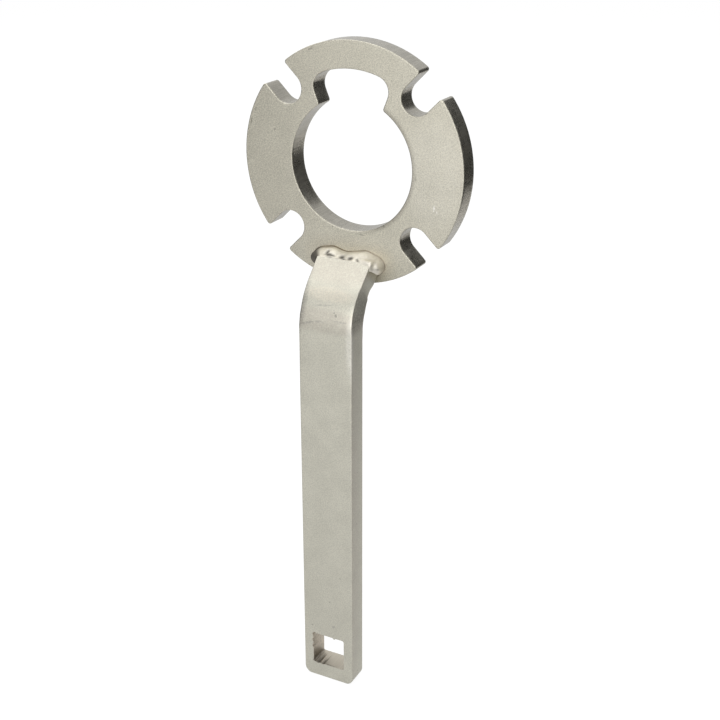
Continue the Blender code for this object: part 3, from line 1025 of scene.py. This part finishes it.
# Places where the metal didn't flow: across, share of the way from bar to ring, half width, half share,
# depth
PITS = (
    (-6.9, 0.42, 0.55, 0.2, 0.5),
    (-5.9, 0.26, 1.4, 0.12, 0.55),
    (-4.6, 0.24, 0.9, 0.08, 0.45),
    (-5.2, 0.05, 1.3, 0.06, 0.4),
    (-1.1, 0.3, 0.9, 0.2, 0.55),
    (-0.2, 0.12, 0.9, 0.1, 0.5),
    (2.1, 0.26, 0.9, 0.17, 0.6),
    (4.7, 0.24, 0.4, 0.08, 0.45),
    (5.2, 0.15, 0.4, 0.07, 0.45),
    (5.8, 0.06, 0.35, 0.06, 0.4),
)
# Which way the metal is missing in a pit
PIT_WAY = Vector((0.0, 0.5, -0.7))
# Steps of a section over its thin skirt, and over its whole face
SKIRT_STEPS = 12
FACE_STEPS = 44
# Power of the weld's rounding, where 1 is an ellipse and less is fuller
FULLNESS = 0.75
# How thick the weld lies on the bar's front, and how far it may lap over it, in millimetres
LAP_HEIGHT = 0.16
LAP_REACH = 0.8
# How far the weld's foot is sunk, and how far its toe stands in front of the ring
FOOT_SINK = 0.12 * MM
TOE_RISE = 0.04 * MM
# Steps along and round the rear weld, and how far its face swells, as a share of its size
REAR_SECTIONS = 60
REAR_STEPS = 14
REAR_CROWN = 0.28


def weld_face(toe, seat, skirt, bulge):
    """Points of one section: over the thin skirt, out on a shelf and down to the toe on the bar."""
    flat = Vector((seat.x - toe.x, 0.0, seat.z - toe.z))
    skirt_end = flat * min(skirt * MM / flat.length, 0.7)
    height = toe.y - seat.y
    lip = min(0.06 * skirt_end.length, 0.25 * height)
    shelf = 0.3 * smooth_step((7.0 - toe.x / MM) / 4.0)
    left = flat - skirt_end
    points = []
    for k in range(FACE_STEPS + 1):
        if k <= SKIRT_STEPS:
            share = k / SKIRT_STEPS
            points.append(toe + skirt_end * share + Vector((0.0, -lip * share, 0.0)))
            continue
        share = (k - SKIRT_STEPS) / (FACE_STEPS - SKIRT_STEPS)
        sloped = max(share - shelf, 0.0) / (1.0 - shelf)
        across = sloped + (1.0 - abs(math.cos(QUARTER * share)) ** FULLNESS - sloped) * bulge
        rise = share + (math.sin(QUARTER * share) ** FULLNESS - share) * bulge
        down = across + (rise - across) * bulge
        climb = -lip - (height - lip) * rise
        points.append(toe + skirt_end + Vector((left.x * across, climb, left.z * down)))
    return points


def lapped(points, shape, reach):
    """Points of one section lifted over the bar's end, to lap so many millimetres of its front."""
    edge = shape.bent(0.0, 0.0, shape.top)
    down = Vector((0.0, -math.sin(shape.angle), -math.cos(shape.angle)))
    out = Vector((0.0, down.z, -down.y))
    share = smooth_step((reach - 0.15) / 0.5)
    lifted = []
    for point in points:
        way = (point - edge).dot(down) / MM
        height = (point - edge).dot(out) / MM
        lap = LAP_HEIGHT * (1.0 - (max(way, 0.0) / max(reach, 0.15)) ** 2)
        beside = smooth_step(shape.half / MM + 1.1 - abs(point.x) / MM)
        near = smooth_step((way + 2.6) / 2.6) * beside
        lifted.append(point + out * max(lap - height, 0.0) * near * share * MM)
    return lifted


def relaxed(rows, passes=6):
    """Rows of points drawn towards their neighbours, with the skirt and the border kept."""
    for _ in range(passes):
        before = [[point.copy() for point in row] for row in rows]
        for i in range(1, len(rows) - 1):
            for k in range(SKIRT_STEPS - 1, len(rows[i]) - 1):
                around = before[i - 1][k] + before[i + 1][k] + before[i][k - 1] + before[i][k + 1]
                rows[i][k] = before[i][k] * 0.5 + around * 0.125
    return rows


def drop_shift(point):
    """How far the drop and its hollow move a point of the weld's face."""
    shift = 0.0
    for across, height, level, radius, out in DROPS:
        centre = Vector((across * MM, RING_LOW.y - height * MM, BORE_Z + level * MM))
        shift += out * MM * math.exp(-(((point - centre).length / (radius * MM)) ** 2))
    return DROP_WAY * shift


def pit_depth(across, way):
    """How deep the metal is missing, in millimetres."""
    deepest = 0.0
    for place, where, half_width, half_way, depth in PITS:
        off = ((across - place) / half_width) ** 2 + ((way - where) / half_way) ** 2
        deepest = max(deepest, depth * math.exp(-off))
    return deepest


def left_end(toe_x):
    """Share by which a section belongs to the weld's left end."""
    return smooth_step((-toe_x - 10.2) / 2.6)


def soot_and_shade_share(toe_x, k, pit):
    """Dark share of a point: in pits as soot and painted shade, at the joint with the bar, over the left
    end as painted shade and on the lap.
    """
    joint = 0.45 * smooth_step((k - FACE_STEPS + 3) / 2) * smooth_step((5.0 - abs(toe_x + 1.0)) / 2.0)
    lap = 0.22 * smooth_step((k - FACE_STEPS + 11) / 8) * smooth_step((3.8 - abs(toe_x - 7.5)) / 1.5)
    # The left end's dark share is painted shade; the pits' is soot and painted shade
    return max(min(0.8, 1.7 * pit), joint, 0.75 * left_end(toe_x) * smooth_step(k / 8), lap)


def stain_share(toe_x, k, way):
    """Brown share of a point: along the toe, over the left end, on the skirt and in one line by the bar; on
    the right of the skirt it is painted shade.
    """
    right = smooth_step((toe_x - 5.0) / 4.0)
    upper_left = smooth_step((-toe_x - 5.0) / 3.0)
    band = 0.35 + 0.4 * smooth_step((2.0 - toe_x) / 8.0) + 0.3 * right
    toe_line = (0.8 - 0.22 * right) * smooth_step(1.35 - way / MM / band)
    # On the right, the skirt's brown share is painted shade; on the upper left it is a brown stain
    skirt = max(0.12 * right, 0.4 * upper_left) * smooth_step(2.2 - way / MM)
    line = 0.5 * math.exp(-(((toe_x - 6.0) / 0.5) ** 2)) * smooth_step((k - FACE_STEPS + 5) / 4)
    return max(toe_line, 0.4 * left_end(toe_x), skirt, line)


def weld_layers(work):
    """Layers for the ripples' height, the bead's travel, and the dark and brown shares."""
    return {name: work.verts.layers.float.new(name) for name in ("bead", "travel", "soot", "stain")}


def weld_outlines(shape):
    """Each section of the front weld: the points of its face, and those of its foot inside bar and ring."""
    count = SECTIONS_BETWEEN * (len(WELD_SECTIONS) - 1)
    half = shape.half / MM
    root_z = BAR_HIGH.z - 0.95 * shape.thickness * math.sin(shape.angle)
    faces, feet = [], []
    for i in range(count + 1):
        x, level, across, depth, back, skirt, bulge = through_rows(WELD_SECTIONS, i / count)
        corner = 1.0 - smooth_step((depth - 0.8) / 1.4)
        across = min(max(across, 0.1 - half), half - 0.1 + 0.22 * corner)
        depth = max(depth, 0.08)
        toe = Vector((x * MM, RING_LOW.y - TOE_RISE, BORE_Z + level * MM))
        seat = shape.bent(across * MM, depth * MM, shape.top - back * MM)
        faces.append(lapped(weld_face(toe, seat, skirt, bulge), shape, min(back, LAP_REACH)))
        inside = shape.bent(0.96 * across * MM, min(depth + 0.4, 7.7) * MM, shape.top - (back + 0.2) * MM)
        root = Vector((0.95 * across * MM, RING_LOW.y + FOOT_SINK, root_z))
        feet.append((inside, root, toe + Vector((0.0, FOOT_SINK, 0.0))))
    return relaxed(faces), feet


def front_weld_mesh(shape, steel):
    """The front weld, lofted between its toes on ring and bar, with its foot sunk into both."""
    work = bmesh.new()
    layers = weld_layers(work)
    rows = []
    for points, foot in zip(*weld_outlines(shape)):
        toe_x = points[0].x / MM
        way = 0.0
        row = []
        for k, point in enumerate(points):
            way += (point - points[max(k - 1, 0)]).length
            share = (k - SKIRT_STEPS) / (FACE_STEPS - SKIRT_STEPS)
            pit = pit_depth(point.x / MM, 1.0 - share) if abs(point.x) < shape.half else 0.0
            edge = smooth_step(min(k, FACE_STEPS - k) / 5)
            vert = work.verts.new(point + PIT_WAY * pit * MM + drop_shift(point) * edge)
            vert[layers["bead"]] = smooth_step(min(k - SKIRT_STEPS, FACE_STEPS - k) / 6)
            vert[layers["travel"]] = point.x
            vert[layers["soot"]] = soot_and_shade_share(toe_x, k, pit)
            vert[layers["stain"]] = stain_share(toe_x, k, way)
            row.append(vert)
        row += [work.verts.new(point) for point in foot]
        rows.append(row)
    return lofted_mesh(work, rows, "front_weld_blank", steel, sharp_degrees=60)


def rear_weld_mesh(shape, steel):
    """The short fillet under the bar, in the corner that the CAD solid fills."""
    corner_y, corner_z = RING_LOW.y + 0.1 * MM, REAR_HIGH.z + 0.2 * MM
    leg = REAR_HIGH.z - REAR_LOW.z + 0.3 * MM
    half = (REAR_HIGH.x - REAR_LOW.x) / 2
    bar_way = Vector((-math.sin(shape.angle), -math.cos(shape.angle)))
    ring_way = Vector((0.0, -1.0))
    work = bmesh.new()
    layers = weld_layers(work)
    rows = []
    for i in range(REAR_SECTIONS + 1):
        share = i / REAR_SECTIONS
        x = -half + 2 * half * share
        end = min(share, 1 - share) * 2 * half
        size = leg * (0.35 + 0.65 * math.sqrt(smooth_step(end / (2.2 * MM))))
        row = []
        for k in range(REAR_STEPS + 1):
            t = k / REAR_STEPS
            flat = ring_way * (1 - t) + bar_way * t
            y, z = flat * size * (1.0 + REAR_CROWN * math.sin(math.pi * t))
            vert = work.verts.new((x, corner_y + y, corner_z + z))
            vert[layers["bead"]] = math.sin(math.pi * t) ** 0.5
            vert[layers["travel"]] = x + 0.35 * size * math.cos(math.pi * (t - 0.5))
            vert[layers["stain"]] = 0.6 * smooth_step((abs(t - 0.5) - 0.4) / 0.1)
            row.append(vert)
        row.append(work.verts.new((x, corner_y, corner_z)))
        rows.append(row)
    return lofted_mesh(work, rows, "rear_weld_blank", steel, sharp_degrees=50)


class HOLDINGTOOL_OT_welds(bpy.types.Operator):
    """Makes the front and rear welds with their ripples"""

    bl_idname = "holding_tool.welds"
    bl_label = "Welds"

    def execute(self, context):
        weld = context.scene.holding_tool_weld
        shape = BarShape(context.scene.holding_tool_bar)
        steel = weld_steel("weld_metal", context.scene.holding_tool_finish)
        tree = weld_ripple_tree()
        values = {"Pitch": weld.ripple_pitch, "Seed": float(weld.seed), "Material": steel}
        blank = scratch_object("front_weld_blank", front_weld_mesh(shape, steel))
        use_tree(blank, tree, {**values, "Height": weld.ripple_height})
        mesh = baked_mesh(blank, "front_weld_bead")
        seat_piece("front_weld_bead", mesh, "front_weld")
        blank = scratch_object("rear_weld_blank", rear_weld_mesh(shape, steel))
        rear = {**values, "Height": weld.rear_ripple_height, "Unevenness": weld.rear_unevenness}
        use_tree(blank, tree, rear)
        mesh = baked_mesh(blank, "rear_weld_bead")
        seat_piece("rear_weld_bead", mesh, "rear_weld")
        return {"FINISHED"}


# Stage

# Cards that the cut walls reflect, as (x, y, lower edge, upper edge) in metres
RIGHT_CARD = (
    (0.07, 0.33, 0.084, 0.37),
    (0.14, 0.305, 0.084, 0.37),
    (0.165, 0.296, 0.001, 0.37),
    (0.24, 0.27, 0.001, 0.37),
    (0.27, 0.24, 0.001, 0.2),
    (0.37, -0.12, 0.001, 0.16),
    (0.3, -0.3, 0.001, 0.16),
)
LOW_CARD = ((0.04, 0.34, 0.001, 0.084), (0.14, 0.305, 0.001, 0.084))
LEFT_CARD = ((-0.42, -0.56, 0.001, 0.34), (-0.5, -0.1, 0.001, 0.34), (-0.4, 0.3, 0.001, 0.34))
DARK_CARD_COLOUR = (0.05, 0.05, 0.047)
GREY_CARD_COLOUR = (0.54, 0.525, 0.5)
# Lamps: name, place, what it points at, width and height in metres, and the setting with its power
LAMPS = (
    ("overhead_softbox", (-0.4, 0.1, 1.1), (-0.1, 0.0, 0.15), (1.7, 1.7), "lamp_power"),
    ("right_softbox", (0.75, -0.05, 0.95), (0.0, 0.0, 0.16), (0.55, 0.8), "right_power"),
    ("front_softbox", (-0.05, -1.0, 0.25), (0.0, 0.0, 0.15), (0.5, 0.4), "front_power"),
)
FLOOR_REACH = 6.0
# Brightness of the floor's glow in reflections and to the camera, and the glow's share in what they see
FLOOR_MIRRORED = 0.655
FLOOR_SEEN = 1.05
FLOOR_GLOW_SHARE = 0.85
WHITE = (1.0, 1.0, 1.0, 1.0)


def floor_material(colour):
    """Matt floor that glows white for the camera, reflections and glass, and keeps the object's shadow."""
    material, tree = new_material("white_floor")
    tree.nodes.clear()
    rays = add_node(tree, "ShaderNodeLightPath").outputs
    matt = add_node(tree, "ShaderNodeBsdfDiffuse", {"Color": (*colour, 1.0)})
    bright = ranged(tree, rays["Is Camera Ray"], 0.0, 1.0, FLOOR_MIRRORED, FLOOR_SEEN)
    glow = add_node(tree, "ShaderNodeEmission", {"Color": WHITE, "Strength": bright})
    seen = maths(tree, "MAXIMUM", rays["Is Camera Ray"], rays["Is Glossy Ray"])
    share = product(tree, maths(tree, "MAXIMUM", seen, rays["Is Transmission Ray"]), FLOOR_GLOW_SHARE)
    both = add_node(tree, "ShaderNodeMixShader", {0: share, 1: matt.outputs[0], 2: glow.outputs[0]})
    add_node(tree, "ShaderNodeOutputMaterial", {"Surface": both.outputs[0]})
    return material


def card_material(name, colour):
    material, tree = new_material(name)
    shader = tree.nodes["Principled BSDF"]
    shader.inputs["Base Color"].default_value = (*colour, 1.0)
    shader.inputs["Roughness"].default_value = 0.9
    shader.inputs["Specular IOR Level"].default_value = 0.0
    return material


def staged_object(name, corners, faces, material):
    mesh = bpy.data.meshes.new(name)
    mesh.from_pydata(corners, [], faces)
    mesh.materials.append(material)
    return scratch_object(name, mesh)


def standing_card(name, line, material):
    """A card along a line of (x, y, lower edge, upper edge), seen in reflections only."""
    corners = [(x, y, z) for x, y, *edges in line for z in edges]
    faces = [(i, i + 2, i + 3, i + 1) for i in range(0, len(corners) - 2, 2)]
    card = staged_object(name, corners, faces, material)
    card.visible_camera = False
    card.visible_diffuse = False
    card.visible_shadow = False
    return card


def photo_camera(stage):
    camera = bpy.data.cameras.new("photo_camera")
    camera.lens = stage.lens
    camera.sensor_width = 36.0
    camera.clip_start = 0.01
    viewer = scratch_object("photo_camera", camera)
    viewer.location = stage.camera_place
    viewer.rotation_euler = (QUARTER - stage.camera_elevation, 0.0, stage.camera_azimuth)
    return viewer


def area_lamp(name, place, target, size, power):
    lamp = bpy.data.lights.new(name, "AREA")
    lamp.shape = "RECTANGLE"
    lamp.size, lamp.size_y = size
    lamp.energy = power
    obj = scratch_object(name, lamp)
    obj.location = place
    obj.rotation_euler = (Vector(target) - Vector(place)).to_track_quat("-Z", "Y").to_euler()


def studio_world(ambient):
    """White surroundings for the camera, and dimmer ones for the light."""
    world = bpy.data.worlds.new("studio")
    world.use_nodes = True
    tree = world.node_tree
    back = tree.nodes["Background"]
    rays = add_node(tree, "ShaderNodeLightPath").outputs
    tree.links.new(maths(tree, "MAXIMUM", rays["Is Camera Ray"], ambient), back.inputs["Strength"])
    back.inputs["Color"].default_value = WHITE
    return world


class HOLDINGTOOL_OT_stage(bpy.types.Operator):
    """Makes the camera, the lamps, the white floor and the cards that the cut walls reflect"""

    bl_idname = "holding_tool.stage"
    bl_label = "Stage"

    def execute(self, context):
        scene = context.scene
        stage = scene.holding_tool_stage
        scene.camera = photo_camera(stage)
        corners = [(x * FLOOR_REACH, y * FLOOR_REACH, 0) for x, y in ((-1, -1), (1, -1), (1, 1), (-1, 1))]
        floor = staged_object("floor", corners, [(0, 1, 2, 3)], floor_material(stage.floor_colour))
        dark = card_material("dark_card", DARK_CARD_COLOUR)
        grey = card_material("grey_card", GREY_CARD_COLOUR)
        right_card = standing_card("right_card", RIGHT_CARD, dark)
        left_card = standing_card("left_card", LEFT_CARD, dark)
        low_card = standing_card("low_card", LOW_CARD, grey)
        for name, place, target, size, power in LAMPS:
            area_lamp(name, place, target, size, getattr(stage, power))
        scene.world = studio_world(stage.ambient)
        scene.view_settings.view_transform = "Standard"
        return {"FINISHED"}


# Panel and registration

# Each group of settings, with the operator that makes its pieces
GROUPS = (
    ("holding_tool_finish", FinishSettings, None),
    ("holding_tool_ring", RingSettings, "holding_tool.ring_plate"),
    ("holding_tool_bar", BarSettings, "holding_tool.handle_bar"),
    ("holding_tool_weld", WeldSettings, "holding_tool.welds"),
    ("holding_tool_stage", StageSettings, "holding_tool.stage"),
)


class HOLDINGTOOL_PT_panel(bpy.types.Panel):
    """Lists the tool's pieces and their sizes"""

    bl_idname = "HOLDINGTOOL_PT_panel"
    bl_label = "Holding Tool"
    bl_space_type = "VIEW_3D"
    bl_region_type = "UI"
    bl_category = "Holding Tool"

    def draw(self, context):
        for group, settings, operator in GROUPS:
            box = self.layout.box()
            if operator:
                box.operator(operator)
            for name in settings.__annotations__:
                box.prop(getattr(context.scene, group), name)


CLASSES = (
    HOLDINGTOOL_OT_ring_plate,
    HOLDINGTOOL_OT_handle_bar,
    HOLDINGTOOL_OT_welds,
    HOLDINGTOOL_OT_stage,
    HOLDINGTOOL_PT_panel,
)


def register():
    for name, group, _ in GROUPS:
        bpy.utils.register_class(group)
        setattr(bpy.types.Scene, name, PointerProperty(type=group))
    for cls in CLASSES:
        bpy.utils.register_class(cls)


def unregister():
    for cls in reversed(CLASSES):
        bpy.utils.unregister_class(cls)
    for name, group, _ in reversed(GROUPS):
        delattr(bpy.types.Scene, name)
        bpy.utils.unregister_class(group)


def main():
    register()
    bpy.ops.holding_tool.ring_plate()
    bpy.ops.holding_tool.handle_bar()
    bpy.ops.holding_tool.welds()
    bpy.ops.holding_tool.stage()


if __name__ == "__main__":
    main()
